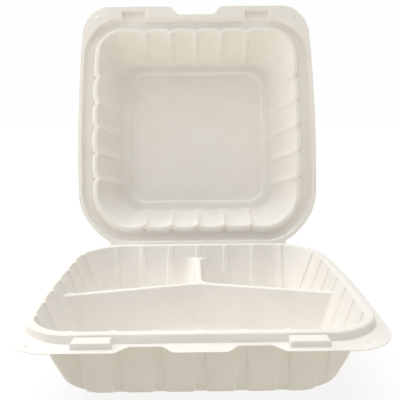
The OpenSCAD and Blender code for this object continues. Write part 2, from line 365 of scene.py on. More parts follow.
def flute_centre(place, half, radii):
    """Distance along a side, round its corner, of a flute at a straight distance from the middle."""
    radius = radii[1] if place > 0 else radii[0]
    straight = half - radius
    if abs(place) <= straight:
        return place
    beyond = min((abs(place) - straight) / radius, FARTHEST_TURN)
    return math.copysign(straight + radius * math.asin(beyond), place)


def side_run(side, ring, part="all"):
    """Distances along one side, and where each lies across the flutes, from one corner to the next.

    A ring holds its half width, its corner radii front and hinge, half a flute's width, the number of flutes
    on each side of the middle, the steps of a flute and of a corner, and the divider's ends on each side.
    """
    radii = side_radii(side, ring.front, ring.hinge)
    first = -(ring.half - radii[0] + radii[0] * math.pi / 4)
    last = ring.half - radii[1] + radii[1] * math.pi / 4
    pitch = sizes().flute_pitch
    beside = pitch / 2 - ring.flute_half
    marks = [(first, ring.corner_steps, None)]
    known, places = [], []
    ends = ring.ends[side] if ring.ends else None
    inside = FLUTE_ROOM * ring.flute_half
    for flute in range(-ring.flutes, ring.flutes + 1):
        centre = flute_centre(flute * pitch, ring.half, radii)
        centre = min(max(centre, first + inside), last - inside)
        low = centre - ring.flute_half
        high = centre + ring.flute_half
        if ends and flute > 0:
            low = max(low, ends[1] + END_ROOM)
            high = max(high, low + END_ROOM)
        elif ends and flute < 0:
            high = min(high, ends[0] - END_ROOM)
            low = min(low, high - END_ROOM)
        elif ends:
            low = max(low, ends[0] + END_ROOM)
            high = min(high, ends[1] - END_ROOM)
        known += [low, high]
        places += [flute * pitch - ring.flute_half, flute * pitch + ring.flute_half]
        if ends and flute == 0:
            marks.append((ends[0], END_STEPS, "end"))
        marks.append((low, ring.flute_steps, flute))
        marks.append((high, GAP_STEPS, None))
        if ends and flute == 0:
            marks[-1] = (high, END_STEPS, None)
            marks.append((ends[1], END_STEPS, "end"))
        if ends and flute == -1:
            marks[-1] = (high, END_STEPS, None)
    marks[-1] = (marks[-1][0], ring.corner_steps, None)
    marks.append((last, 0, None))
    if ends:
        stops = [i for i, mark in enumerate(marks) if mark[2] == "end"]
        marks = {
            "all": marks, "before": marks[:stops[0] + 1], "after": marks[stops[1]:],
            "end": marks[stops[0]:stops[1] + 1]}[part]
    known = [known[0] - beside] + known + [known[-1] + beside]
    places = [places[0] - beside] + places + [places[-1] + beside]
    distances = []
    for (low, steps, _), (high, _, _) in zip(marks, marks[1:]):
        distances.append(low + (high - low) * np.arange(steps) / steps)
    if part in ("before", "end"):
        distances.append([marks[-1][0]])
    distances = np.concatenate(distances)
    return distances, np.interp(distances, known, places), radii


def wall_row(ring, parts):
    """Points, normals and flute places of a row that follows parts of the four sides."""
    points, normals, across = [], [], []
    for side, part in parts:
        along, place, radii = side_run(side, ring, part)
        xy, normal = side_points(along, ring.half, radii)
        points.append(turned(xy, side))
        normals.append(turned(normal, side))
        across.append(place)
    return np.concatenate(points), np.concatenate(normals), np.concatenate(across)


ALL_SIDES = ((0, "all"), (1, "all"), (2, "all"), (3, "all"))


class Skin:
    """Rows of points with what the flutes need to know of each, and the faces between them."""

    def __init__(self):
        self.points, self.across, self.halves, self.depths, self.inward = [], [], [], [], []
        self.faces = []
        self.count = 0

    def row(self, xy, z, across=None, flute_half=1.0, depth=0.0, normals=None):
        """Adds a row and gives the numbers of its points. Depth is a flute's depth there."""
        number = len(xy)
        self.points.append(np.column_stack((xy, np.broadcast_to(z, number))))
        self.across.append(np.full(number, sizes().flute_pitch / 2) if across is None else across)
        self.halves.append(np.full(number, flute_half))
        self.depths.append(np.broadcast_to(np.asarray(depth, float), number))
        inward = np.zeros((number, 3))
        if normals is not None:
            inward[:, :2] = -normals
        self.inward.append(inward)
        self.count += number
        return np.arange(self.count - number, self.count)

    def band(self, inner, outer):
        """Closes the strip between a row and the next one out."""
        self.faces += np.column_stack((inner, outer, np.roll(outer, -1), np.roll(inner, -1))).tolist()

    def cap(self, loop):
        """Fills a flat outline."""
        outline = [Vector(point[:2]) for point in np.concatenate(self.points)[loop]]
        edges = [(i, (i + 1) % len(loop)) for i in range(len(loop))]
        _, _, faces, origins, _, _ = delaunay_2d_cdt(outline, edges, [], FILL_INSIDE, JOIN / 10)
        for face in faces:
            self.faces.append([int(loop[origins[corner][0]]) for corner in face])

    def follow(self, previous, row):
        """Closes the strip to the row before, or fills the row where there is none."""
        if previous is None:
            self.cap(row)
        else:
            self.band(previous, row)
        return row

    def wall(self, ring, z, depth):
        """Adds a row that runs all round a wall."""
        xy, normals, across = wall_row(ring, ALL_SIDES)
        return self.row(bowed(xy, ring.half), z, across, ring.flute_half, depth, normals)


# Tray

def tray_half(z):
    d = derived()
    return d.mouth - (sizes().base_height - z) * math.tan(sizes().wall_slope)


def tray_flute_half(z):
    s = sizes()
    top = s.base_height
    low = s.sheet + s.floor_radius
    rise = min(max((z - low) / (top - low), 0), 1)
    return (s.flute_foot + (s.flute_width - s.flute_foot) * rise) / 2


def corner_arc(before, here, after, radius, steps):
    """Points round one corner of an outline, counter-clockwise."""
    before, here, after = (np.asarray(p, float) for p in (before, here, after))
    back = unit(before - here)
    ahead = unit(after - here)
    corner = math.acos(float(back @ ahead))
    centre = here + unit(back + ahead) * radius / math.sin(corner / 2)
    start = math.atan2(back[0], -back[1])
    angles = start + (math.pi - corner) * np.arange(steps + 1) / steps
    return centre + radius * np.column_stack((np.cos(angles), np.sin(angles)))


def between(first, last, steps):
    """Points strictly between two points."""
    reach = np.arange(1, steps)[:, None] / steps
    return first + (last - first) * reach


def divider_runs(z, inset):
    """The divider's sides at a height, as the front and the right rear compartments see them."""
    s = sizes()
    d = derived()
    half = tray_half(z) - inset
    gap = s.divider_width / 2 + (d.divider_top - z) * math.tan(s.divider_slope) + inset
    radius = max(s.pocket_corner - inset, LEAST_RADIUS)
    lean = math.tan(s.arm_angle)
    step = gap / math.cos(s.arm_angle)
    end = s.divider_meet - lean * half
    meet = s.divider_meet - step
    stem = s.divider_meet - lean * gap + step
    front = [(half, -half), (half, end - step), (0, meet), (-half, end - step), (-half, -half)]
    rear = [(half, half), (gap, half), (gap, stem), (half, end + step), (half, half)]
    runs = []
    for outline, rounds in ((front, FRONT_ROUNDS), (rear, REAR_ROUNDS)):
        arcs = [corner_arc(*outline[i:i + 3], radius * rounds[i], ARC_STEPS) for i in range(3)]
        runs.append(np.concatenate((
            arcs[0], between(arcs[0][-1], arcs[1][0], STRAIGHT_STEPS), arcs[1],
            between(arcs[1][-1], arcs[2][0], STRAIGHT_STEPS), arcs[2])))
    return runs


def tray_ring(z, inset=0.0):
    """A row of the tray's wall with the divider's ends."""
    half = tray_half(z) - inset
    front, rear = divider_runs(z, inset)
    sides = (front[0][1], rear[-1][1])
    back = rear[0][0]
    ends = (None, sides, (-back, back), (-sides[1], -sides[0]))
    return SimpleNamespace(
        half=half, front=front_radius(half), hinge=hinge_radius(half), flute_half=tray_flute_half(z),
        flutes=TRAY_FLUTES, flute_steps=TRAY_FLUTE_STEPS, corner_steps=TRAY_CORNER_STEPS, ends=ends)


def pocket_levels():
    """Heights of a compartment's rows with their inset, rounding at the divider's top and flute depth."""
    s = sizes()
    d = derived()
    radius = s.floor_radius
    levels = []
    for i in range(FILLET_STEPS + 1):
        turn = math.pi / 2 * i / FILLET_STEPS
        rise = radius * (1 - math.cos(turn))
        inset = radius * (1 - math.sin(turn))
        crest = s.flute_depth + (s.foot_share * radius - s.flute_depth) * (1 - rise / radius)
        levels.append((s.sheet + rise, inset, 0.0, max(crest - inset, 0.0)))
    low = s.sheet + radius
    high = d.divider_top - s.edge_round
    for i in range(1, WALL_STEPS + 1):
        levels.append((low + (high - low) * i / WALL_STEPS, 0.0, 0.0, s.flute_depth))
    for i in range(1, BEND_STEPS + 1):
        turn = math.pi / 2 * i / BEND_STEPS
        rounding = s.edge_round * (1 - math.cos(turn))
        levels.append((high + s.edge_round * math.sin(turn), 0.0, rounding, s.flute_depth))
    return levels


def add_pocket(skin, which):
    """Adds a compartment's rows: 0 front, 1 right rear, 2 left rear. Gives the points beside the divider."""
    rear = ((1, "after"), (2, "before"))
    parts = (((3, "after"), (0, "all"), (1, "before")), rear, rear)[which]
    previous = None
    for z, inset, rounding, depth in pocket_levels():
        ring = tray_ring(z, inset)
        outer, normals, across = wall_row(ring, parts)
        inner = divider_runs(z, inset)[min(which, 1)][1:-1]
        outward = np.zeros_like(inner)
        tangents = np.gradient(inner, axis=0)
        outward[:, 0] = tangents[:, 1]
        outward[:, 1] = -tangents[:, 0]
        outward /= np.linalg.norm(outward, axis=1)[:, None]
        steps = np.arange(1, len(inner) + 1)
        ease = smooth(np.minimum(steps, steps[::-1]) / ARC_STEPS) ** 2
        inner = inner + outward * (ease * rounding)[:, None]
        xy = np.concatenate((outer, inner))
        on_straight = rising(np.abs(normals).max(axis=1), STRAIGHT_SPAN)
        run_out = 1 - inset / sizes().floor_radius * (1 - on_straight)
        depth = np.concatenate((depth * run_out, np.zeros(len(inner))))
        flute_normals = np.concatenate((normals, np.zeros_like(inner)))
        place = np.concatenate((across, np.full(len(inner), sizes().flute_pitch / 2)))
        if which == 2:
            xy = (xy * (-1, 1))[::-1]
            flute_normals = (flute_normals * (-1, 1))[::-1]
            place = place[::-1]
            depth = depth[::-1]
        row = skin.row(bowed(xy, ring.half), z, place, ring.flute_half, depth, flute_normals)
        previous = skin.follow(previous, row)
    if which == 2:
        return previous[:len(inner)]
    return previous[len(outer):]


# Rim and lip

def profile(corners, radii, steps):
    """Rows along a section's corners with bends of the given radii. A corner is two arrays, out and up."""
    corners = np.array([np.broadcast_arrays(*corner) for corner in corners])
    rows = [corners[0]]
    for i in range(1, len(corners) - 1):
        back = corners[i - 1] - corners[i]
        ahead = corners[i + 1] - corners[i]
        back_length = np.linalg.norm(back, axis=0)
        ahead_length = np.linalg.norm(ahead, axis=0)
        radius = np.minimum(radii[i - 1], BEND_SHARE * np.minimum(back_length, ahead_length))
        start = corners[i] + back / back_length * radius
        end = corners[i] + ahead / ahead_length * radius
        for t in np.linspace(0, 1, steps[i - 1] + 1):
            rows.append((1 - t) ** 2 * start + 2 * t * (1 - t) * corners[i] + t * t * end)
    rows.append(corners[-1])
    return rows


# Offsets across a lock tab's side, from outside it to inside, with the share of its height
TAB_SIDE = ((-1.1, 0.0), (-0.7, 0.04), (-0.4, 0.28), (-0.1, 0.78), (0.2, 0.96), (0.7, 1.0))


def tab_share(x, grow):
    """Height of the lock tabs at places across the front, as a share of their full height."""
    s = sizes()
    offsets = np.array([offset for offset, _ in TAB_SIDE]) * MM
    shares = [value for _, value in TAB_SIDE]
    inside = np.minimum(np.abs(x) - s.tab_start + grow, s.tab_start + s.tab_width + grow - np.abs(x))
    return np.interp(inside, offsets, shares)


def lip_edge(x, curves):
    """How far the lip reaches at places across the front.

    Each curve has its start, its end and 1 where the lip falls back outwards or -1 where it comes out again.
    """
    d = derived()
    s = sizes()
    cut = np.zeros_like(x)
    for start, end, fall in curves:
        cut += rising(np.abs(x), (start, end)) * fall
    return d.lip - s.lip_reach * np.clip(cut + (1.0 if curves[0][2] < 0 else 0.0), 0, 1)


def front_places(number, curves, grow):
    """Places across the straight front, close together at the tabs and the lip's curves."""
    s = sizes()
    d = derived()
    places = [0.0]
    for start, end, _ in curves:
        places += list(np.linspace(start, end, CURVE_STEPS))
    for offset, _ in TAB_SIDE:
        places += [s.tab_start - grow + offset * MM, s.tab_start + s.tab_width + grow - offset * MM]
    places = sorted(places)
    half_number = number // 2 + 1
    limit = d.flange - s.front_corner
    places = [x for x in places if x < limit - 2 * FRONT_ROOM] + [limit - FRONT_ROOM]
    while len(places) < half_number:
        gaps = np.diff(places)
        widest = int(np.argmax(gaps))
        places.insert(widest + 1, (places[widest] + places[widest + 1]) / 2)
    right = np.array(places)
    if number % 2:
        return np.concatenate((-right[:0:-1], right))
    return np.concatenate((-right[:0:-1], right[1:]))


def edge_reach(points, normals, foot, curves):
    """Distance from the skirt's foot out to the plate's edge, along the normals."""
    s = sizes()
    d = derived()
    flange = d.flange - foot
    far = np.full(len(points), flange)
    centre = np.array((d.flange - s.lip_corner, -d.lip + s.lip_corner))
    for i, (point, normal) in enumerate(zip(points, normals)):
        if point[1] < 0:
            start = np.array((abs(point[0]), point[1]))
            way = np.array((abs(normal[0]), normal[1]))
            reaches = []
            if way[1] < -TINY:
                reach = (-d.lip - start[1]) / way[1]
                place = (start + reach * way)[0]
                if place <= centre[0]:
                    cut = d.lip - lip_edge(np.array([place]), curves)[0]
                    reaches.append(reach + cut / way[1])
            offset = start - centre
            along = offset @ way
            square = along * along - offset @ offset + s.lip_corner ** 2
            if square >= 0:
                reach = math.sqrt(square) - along
                hit = start + reach * way
                if hit[0] >= centre[0] and hit[1] <= centre[1]:
                    reaches.append(reach)
            if way[0] > TINY:
                reach = (d.flange - start[0]) / way[0]
                if (start + reach * way)[1] >= centre[1]:
                    reaches.append(reach)
            if reaches:
                far[i] = min(reaches)
        elif normal[1] > BACKWARD:
            to_crease = (d.crease_y - WEB_GAP - point[1]) / normal[1]
            place = abs(point[0]) + to_crease * abs(normal[0])
            web = smooth((s.web_length / 2 - place) / s.web_round + 0.5)
            far[i] += (to_crease - flange) * web
    return far


def button_dip(points, grow):
    """How far the snap buttons are pressed down. The lid's are smaller by grow, and nest in the tray's."""
    s = sizes()
    d = derived()
    across = np.abs(points[:, 0]) - d.flange + s.button_inset
    away = np.hypot(across, points[:, 1] + d.lip - s.button_back)
    reach = s.button_size / 2 + s.button_foot - grow
    return (s.button_rise - grow) * smooth((reach - away) / s.button_flank)


def add_rim(skin, ring, corners, radii, foot, curves, grow, seat, depth, inner_row):
    """Adds the rim's rows from the mouth out to the plate's edge.

    corners are the section from the wall to the rim's outer edge, foot is the half width at the skirt's foot,
    and grow is how much larger the tabs are than the tray's.
    """
    s = sizes()
    d = derived()
    points, normals, across = wall_row(ring, ALL_SIDES)
    straight = d.flange - s.front_corner - FRONT_ROOM / 2
    front = np.flatnonzero((np.abs(points[:, 0]) < straight) & (normals[:, 1] < -FORWARD))
    spread = points.copy()
    spread[front, 0] = front_places(len(front), curves, grow)
    at_foot = spread + normals * (foot - ring.half)
    far = edge_reach(at_foot, normals, foot, curves)
    lip = (at_foot[:, 1] < 0) & (normals[:, 1] < -FORWARD)
    raised = np.where(lip, tab_share(spread[:, 0], grow), 0.0) * s.tab_rise
    lean = (corners[-1][0] - foot) / (corners[-1][1] - seat)
    full = d.lip - foot
    near = foot + lean * raised
    shelf = foot + (s.tab_reach + grow - s.tab_lean) * far / full
    drop = foot + (s.tab_reach + grow) * far / full
    edge = foot + far - EDGE_STRIP
    plate = [(near + (shelf - near) * i / PLATE_STEPS, seat + raised) for i in range(1, PLATE_STEPS)]
    apron = [(drop + (edge - drop) * i / PLATE_STEPS, seat) for i in range(1, PLATE_STEPS)]
    spread_at = tuple(np.add(corners[-2], SPREAD_SHARE * np.subtract(corners[-1], corners[-2])))
    section = corners[:-1] + [spread_at, corners[-1], (near, seat + raised)] + plate
    section += [(shelf, seat + raised), (drop, seat)] + apron + [(edge, seat), (foot + far, seat)]
    section = [np.broadcast_arrays(out, up, far)[:2] for out, up in section]
    flat = PLATE_STEPS - 1
    fluted_bends = len(corners) - 2
    radii = radii[:-1] + [JOIN, radii[-1], s.skirt_round] + [JOIN] * flat
    radii += [s.tab_round, s.tab_foot] + [JOIN] * flat + [JOIN]
    bends = [BEND_STEPS] * fluted_bends + [0, BEND_STEPS, BEND_STEPS]
    bends += [0] * flat + [BEND_STEPS, BEND_STEPS] + [0] * flat + [0]
    rows = profile(section, radii, bends)
    fluted_rows = fluted_bends * (BEND_STEPS + 1)
    previous = inner_row
    for number, (out, up) in enumerate(rows[1:]):
        fluted = number < fluted_rows
        base = points if number <= fluted_rows else spread
        xy = bowed(base + normals * (out - ring.half)[:, None], out)
        place = across if fluted else None
        row = skin.row(xy, up - button_dip(xy, grow), place, ring.flute_half, depth, normals)
        skin.band(previous, row)
        previous = row


def build_tray_skin():
    s = sizes()
    d = derived()
    skin = Skin()
    runs = [add_pocket(skin, which) for which in range(3)]
    top = tray_ring(d.divider_top)
    ends = []
    for side in (1, 2, 3):
        xy, normals, across = wall_row(top, ((side, "end"),))
        xy = bowed(xy, top.half)
        ends.append(skin.row(xy, d.divider_top, across, top.flute_half, s.flute_depth, normals))
    plateau = np.concatenate((ends[0], runs[1][::-1], ends[1], runs[2][::-1], ends[2], runs[0][::-1]))
    skin.cap(plateau)
    previous = None
    for i in range(MOUTH_STEPS + 1):
        z = d.divider_top + (s.base_height - s.edge_round - d.divider_top) * i / MOUTH_STEPS
        ring = tray_ring(z)
        ring.ends = top.ends
        row = skin.wall(ring, z, s.flute_depth)
        if previous is not None:
            skin.band(previous, row)
        previous = row
    corners = [(ring.half, z), (d.mouth, s.base_height), (d.rim, s.base_height)]
    curves = ((s.tongue_half, s.tongue_root, 1.0), (s.notch_end, s.notch_lip, -1.0))
    radii = [s.edge_round, s.edge_round]
    add_rim(skin, ring, corners, radii, d.skirt, curves, 0.0, d.flange_top, s.flute_depth, previous)
    return skin


# Lid

def lid_flute_half(z):
    s = sizes()
    d = derived()
    rise = min(max((z - d.seat) / (d.border_top - s.shoulder_radius - d.seat), 0), 1)
    return (s.flute_width + (s.flute_foot - s.flute_width) * rise) / 2


def lid_ring(half, front, hinge, flute_half):
    return SimpleNamespace(
        half=half, front=max(front, LEAST_RADIUS), hinge=max(hinge, LEAST_RADIUS), flute_half=flute_half,
        flutes=LID_FLUTES, flute_steps=LID_FLUTE_STEPS, corner_steps=LID_CORNER_STEPS, ends=None)


def dome_ring(z, inset):
    """A row of the lid's wall, with its corners drawn in towards the crown."""
    s = sizes()
    d = derived()
    half = d.dome - (z - d.seat) * math.tan(s.lid_slope)
    rise = (z - d.seat) / (d.border_top - d.seat)
    front = front_radius(d.dome) * (1 - rise) + s.crown_corner * rise
    hinge = hinge_radius(d.dome) * (1 - rise) + s.crown_corner * rise
    return lid_ring(half - inset, front - inset, hinge - inset, lid_flute_half(z))


def build_lid_skin():
    s = sizes()
    d = derived()
    skin = Skin()
    previous = None
    panel = profile(
        [(d.panel - PANEL_STRIP, s.lid_height), (d.panel - s.panel_lean, s.lid_height),
         (d.panel + s.panel_lean, d.border_top), (d.crown - s.shoulder_radius, d.border_top)],
        [s.panel_round, s.panel_round], [BEND_STEPS, BEND_STEPS])
    for half, z in panel:
        corner = s.panel_corner + half - d.panel
        ring = lid_ring(half, corner, corner, s.flute_foot / 2)
        xy = wall_row(ring, ALL_SIDES)[0]
        previous = skin.follow(previous, skin.row(bowed(xy, half), z))
    radius = s.shoulder_radius
    for i in range(FILLET_STEPS + 1):
        turn = math.pi / 2 * i / FILLET_STEPS
        fall = radius * (1 - math.cos(turn))
        inset = radius * (1 - math.sin(turn))
        crest = s.lid_flute_depth + (s.foot_share * radius - s.lid_flute_depth) * (1 - fall / radius)
        z = d.border_top - fall
        previous = skin.follow(previous, skin.wall(dome_ring(z, inset), z, max(crest - inset, 0.0)))
    low = d.seat + s.edge_round
    for i in range(1, LID_WALL_STEPS + 1):
        z = d.border_top - radius + (low - d.border_top + radius) * i / LID_WALL_STEPS
        ring = dome_ring(z, 0.0)
        previous = skin.follow(previous, skin.wall(ring, z, s.lid_flute_depth))
    corners = [
        (ring.half, z), (d.dome, d.seat), (d.plug, d.seat),
        (d.plug_top, d.channel_top), (d.channel_crown, d.channel_top)]
    radii = [s.plug_round, s.plug_round, s.channel_round, s.edge_round]
    curves = ((s.gap_half, s.gap_lip, -1.0),)
    add_rim(skin, ring, corners, radii, d.channel, curves, s.fit_gap, d.seat, s.lid_flute_depth, previous)
    return skin


def opened(points):
    """Turns points of the shut lid open on the crease."""
    s = sizes()
    d = derived()
    turn = Matrix.Translation((0, d.crease_y, d.crease_z)) @ Matrix.Rotation(-s.open_angle, 4, "X")
    turn = np.array(turn @ Matrix.Translation((0, -d.crease_y, 0)))
    return points @ turn[:3, :3].T + turn[:3, 3]


def opened_direction(vectors):
    turn = np.array(Matrix.Rotation(-sizes().open_angle, 3, "X"))
    return vectors @ turn.T


# Nodes

def add(tree, kind, inputs=(), links=(), **settings):
    """Adds a node with its settings, the values of its inputs and the links into them.

    A link comes from a socket, or from a node's first output.
    """
    node = tree.nodes.new(kind)
    for name, value in settings.items():
        setattr(node, name, value)
    for name, value in inputs:
        node.inputs[name].default_value = value
    for name, source in links:
        socket = source.outputs[0] if isinstance(source, bpy.types.Node) else source
        tree.links.new(socket, node.inputs[name])
    return node


def linear(code):
    """Linear colour of an sRGB hex value."""
    parts = [int(code[i:i + 2], 16) / 255 for i in (1, 3, 5)]
    return [c / 12.92 if c <= 0.04045 else ((c + 0.055) / 1.055) ** 2.4 for c in parts] + [1.0]


def flute_tree():
    """Node tree that presses the flutes into a skin, joins its rows and gives it its material."""
    tree = bpy.data.node_groups.new("Pressed flutes", "GeometryNodeTree")
    sockets = (
        ("Skin", "Geometry"), ("Pitch", "Float"), ("Crest share", "Float"), ("Pillow share", "Float"),
        ("Join distance", "Float"), ("Material", "Material"))
    for name, kind in sockets:
        tree.interface.new_socket(name, in_out="INPUT", socket_type="NodeSocket" + kind)
    tree.interface.new_socket("Skin", in_out="OUTPUT", socket_type="NodeSocketGeometry")
    start = add(tree, "NodeGroupInput").outputs
    given = {}
    for name, kind in FLUTE_LAYERS:
        given[name] = add(tree, "GeometryNodeInputNamedAttribute", (("Name", name),), data_type=kind)
    # Distance from the middle of the nearest flute, in pitches and then in half widths of a flute
    pitch = start["Pitch"]
    pitches = add(tree, "ShaderNodeMath", links=((0, given["across"]), (1, pitch)), operation="DIVIDE")
    nearest = add(tree, "ShaderNodeMath", links=((0, pitches),), operation="ROUND")
    beside = add(tree, "ShaderNodeMath", links=((0, pitches), (1, nearest)), operation="SUBTRACT")
    off = add(tree, "ShaderNodeMath", links=((0, beside),), operation="ABSOLUTE")
    away = add(tree, "ShaderNodeMath", links=((0, off), (1, pitch)), operation="MULTIPLY")
    ratio = add(tree, "ShaderNodeMath", links=((0, away), (1, given["flute_half"])), operation="DIVIDE")
    # A flute with a flat crest, and a swell that is level midway between two flutes
    crest = add(
        tree, "ShaderNodeMapRange", (("From Max", 1.0), ("To Min", 1.0), ("To Max", 0.0)),
        (("Value", ratio), ("From Min", start["Crest share"])))
    from_middle = add(tree, "ShaderNodeMath", ((1, -2.0), (2, 1.0)), ((0, off),), operation="MULTIPLY_ADD")
    pillow = add(tree, "ShaderNodeMath", ((1, 2.0),), ((0, from_middle),), operation="POWER")
    both = add(
        tree, "ShaderNodeMix",
        links=(("Factor", start["Pillow share"]), (NUMBER_A, crest), (NUMBER_B, pillow)), data_type="FLOAT")
    press = add(tree, "ShaderNodeMath", links=((0, both), (1, given["flute_depth"])), operation="MULTIPLY")
    move = add(
        tree, "ShaderNodeVectorMath", links=((0, given["inward"]), ("Scale", press)), operation="SCALE")
    pressed = add(tree, "GeometryNodeSetPosition", links=(("Geometry", start["Skin"]), ("Offset", move)))
    joined = add(
        tree, "GeometryNodeMergeByDistance",
        links=(("Geometry", pressed), ("Distance", start["Join distance"])))
    real = add(tree, "GeometryNodeRealizeInstances", links=(("Geometry", joined),))
    finished = add(
        tree, "GeometryNodeSetMaterial", links=(("Geometry", real), ("Material", start["Material"])))
    add(tree, "NodeGroupOutput", links=((0, finished),))
    return tree


def skin_object(name, skin, points, inward, faces, crest, pillow):
    """Makes a plain mesh of a skin with its flutes pressed in, and gives it the sheet's thickness."""
    s = sizes()
    mesh = bpy.data.meshes.new(name)
    mesh.from_pydata(points.tolist(), [], faces)
    known = [np.concatenate(values) for values in (skin.across, skin.halves, skin.depths)] + [inward]
    for (label, kind), values in zip(FLUTE_LAYERS, known):
        layer = mesh.attributes.new(label, kind, "POINT")
        layer.data.foreach_set("value" if kind == "FLOAT" else "vector", values.astype(np.float32).ravel())
    blank = bpy.data.objects.new(name + "_blank", mesh)
    bpy.context.scene.collection.objects.link(blank)
    tree = bpy.data.node_groups.get("Pressed flutes") or flute_tree()
    flutes = blank.modifiers.new("Pressed flutes", "NODES")
    flutes.node_group = tree
    values = {
        "Pitch": s.flute_pitch, "Crest share": crest, "Pillow share": pillow,
        "Join distance": JOIN, "Material": formed_polypropylene()}
    for item in tree.interface.items_tree:
        if item.in_out == "INPUT" and item.name in values:
            flutes[item.identifier] = values[item.name]
    graph = bpy.context.evaluated_depsgraph_get()
    formed = bpy.data.meshes.new_from_object(blank.evaluated_get(graph))
    bpy.data.objects.remove(blank)
    for label, _ in FLUTE_LAYERS:
        formed.attributes.remove(formed.attributes[label])
    formed.name = name
    formed.shade_smooth()
    formed.set_sharp_from_angle(angle=SHARP_ANGLE)
    piece = bpy.data.objects.new(name, formed)
    bpy.context.scene.collection.objects.link(piece)
    wall = piece.modifiers.new("Sheet thickness", "SOLIDIFY")
    wall.thickness = s.sheet
    wall.offset = -1.0
    wall.use_even_offset = True
    wall.thickness_clamp = 1.0
    return piece


def formed_polypropylene():
    """Mineral-filled polypropylene, vacuum formed.

    To the eye it is an opaque warm white, matte to satin, with a faint cloud in it.
    """
    finish = bpy.context.scene.container_finish
    material = bpy.data.materials.get("formed_polypropylene")
    if material:
        return material
    material = bpy.data.materials.new("formed_polypropylene")
    material.use_nodes = True
    tree = material.node_tree
    tree.nodes.clear()
    place = add(tree, "ShaderNodeTexCoord").outputs["Object"]
    # Clouding of the mineral filler
    cloud = add(
        tree, "ShaderNodeTexNoise", (("Scale", 1 / CLOUD_SIZE), ("Detail", 3.0), ("Roughness", 0.55)),
        (("Vector", place),))
    tint = add(
        tree, "ShaderNodeMix",
        ((COLOUR_A, linear(finish.sheet_colour)), (COLOUR_B, linear(finish.fleck_colour))),
        (("Factor", cloud),), data_type="RGBA")
    # Satin where the filler is thin, matte where it gathers
    gloss = add(tree, "ShaderNodeMapRange", (("To Min", 0.48), ("To Max", 0.6)), (("Value", cloud),))
    # Fine grain off the mould's blasted face
    grain = add(
        tree, "ShaderNodeTexNoise", (("Scale", 1 / GRAIN_SIZE), ("Detail", 2.0)), (("Vector", place),))
    bump = add(tree, "ShaderNodeBump", (("Strength", 0.12), ("Distance", 0.1 * MM)), (("Height", grain),))
    shader = add(
        tree, "ShaderNodeBsdfPrincipled", (("IOR", 1.49), ("Specular IOR Level", 0.4)),
        (("Base Color", tint.outputs[MIXED_COLOUR]), ("Roughness", gloss), ("Normal", bump)))
    add(tree, "ShaderNodeOutputMaterial", links=(("Surface", shader),))
    return material


class CONTAINER_OT_tray(bpy.types.Operator):
    """Form the tray with its compartments, rim and front lip"""
    bl_idname = "container.tray"
    bl_label = "Tray"

    def execute(self, context):
        skin = build_tray_skin()
        points = np.concatenate(skin.points)
        inward = np.concatenate(skin.inward)
        piece = skin_object(
            "formed_tray", skin, points, inward, skin.faces, sizes().tray_crest, sizes().tray_pillow)
        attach(piece, "base")
        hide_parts("base_tray")
        return {"FINISHED"}


class CONTAINER_OT_lid(bpy.types.Operator):
    """Form the lid with its fluted dome, channel and lip"""
    bl_idname = "container.lid"
    bl_label = "Lid"

    def execute(self, context):
        skin = build_lid_skin()
        points = opened(np.concatenate(skin.points))
        inward = opened_direction(np.concatenate(skin.inward))
        faces = [face[::-1] for face in skin.faces]
        piece = skin_object(
            "formed_lid", skin, points, inward, faces, sizes().lid_crest, sizes().lid_pillow)
        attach(piece, "lid")
        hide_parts("lid")
        return {"FINISHED"}


def crease_line(steps):
    """Middle of the bent sheet, from the tray's web to the open lid's, as places back and up."""
    s = sizes()
    d = derived()
    tray_end = np.array((0, d.crease_y - CREASE_LAP, d.flange_top - s.sheet / 2))
    tray_way = np.array((0, 1.0, 0))
    lid_end = opened(np.array(((0, d.crease_y - CREASE_LAP, d.seat + s.sheet / 2),)))[0]
    lid_way = opened_direction(np.array(((0, 1.0, 0),)))[0]
    handles = (tray_end, tray_end + tray_way * CREASE_HANDLE, lid_end + lid_way * CREASE_HANDLE, lid_end)
    t = np.linspace(0, 1, steps + 1)[:, None]
    weights = ((1 - t) ** 3, 3 * t * (1 - t) ** 2, 3 * t * t * (1 - t), t ** 3)
    return sum(weight * handle for weight, handle in zip(weights, handles))[:, 1:]


class CONTAINER_OT_crease(bpy.types.Operator):
    """Form the thinned crease that joins the tray to the lid"""
    bl_idname = "container.crease"
    bl_label = "Crease"

    def execute(self, context):
        s = sizes()
        line = crease_line(2 * BEND_STEPS)
        ways = np.gradient(line, axis=0)
        ways /= np.linalg.norm(ways, axis=1)[:, None]
        across = np.column_stack((-ways[:, 1], ways[:, 0])) * s.crease_sheet / 2
        outline = np.concatenate((line + across, (line - across)[::-1]))
        half_length = (s.web_length - s.web_round) / 2
        places = np.linspace(-half_length, half_length, STRAIGHT_STEPS + 1)
        points = [(x, back, up) for x in places for back, up in outline]
        number = len(outline)
        faces = []
        for k in range(STRAIGHT_STEPS):
            for i in range(number):
                j = (i + 1) % number
                faces.append((k * number + i, k * number + j, (k + 1) * number + j, (k + 1) * number + i))
        faces.append(tuple(range(number))[::-1])
        faces.append(tuple(range(STRAIGHT_STEPS * number, (STRAIGHT_STEPS + 1) * number)))
        mesh = bpy.data.meshes.new("hinge_crease")
        mesh.from_pydata(points, [], faces)
        shape = bmesh.new()
        shape.from_mesh(mesh)
        bmesh.ops.recalc_face_normals(shape, faces=shape.faces)
        shape.to_mesh(mesh)
        shape.free()
        mesh.materials.append(formed_polypropylene())
        mesh.shade_smooth()
        mesh.set_sharp_from_angle(angle=SHARP_ANGLE)
        piece = bpy.data.objects.new("hinge_crease", mesh)
        context.scene.collection.objects.link(piece)
        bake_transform(piece)
        return {"FINISHED"}


# Stage

